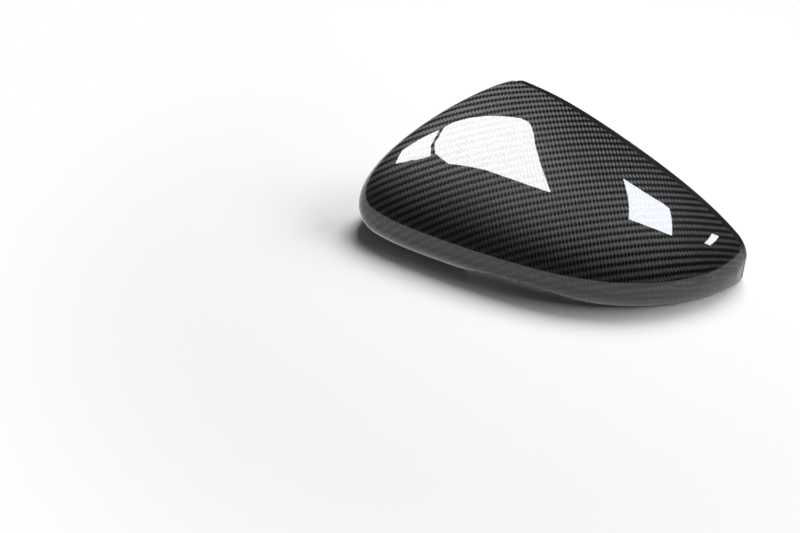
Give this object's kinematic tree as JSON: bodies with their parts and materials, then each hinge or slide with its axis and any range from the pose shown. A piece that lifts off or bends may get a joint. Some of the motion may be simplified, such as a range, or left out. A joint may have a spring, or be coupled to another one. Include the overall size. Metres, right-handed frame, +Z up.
{
  "type": "wing mirror cover",
  "caption": "Hollow streamlined cap for a car's wing mirror: carbon-fibre skin bonded over a black moulded shell that clips onto the mirror housing.",
  "frame": {"origin": "middle of the cover's overall box in plan, at the height of the lower rim it stands on", "axes": "+X along the rear rim towards the pointed inner tip, +Y to the rear where the cover is open, +Z up"},
  "size_m": [0.2346, 0.102, 0.0846],
  "materials": {
    "shell_plastic": "injection-moulded black ABS, semi-gloss",
    "carbon_laminate": "2 by 2 twill carbon fibre in resin under a polished clear coat"
  },
  "bodies": {
    "root": {"inner_shell": "shell_plastic", "carbon_skin": "carbon_laminate"}
  },
  "joints": []
}
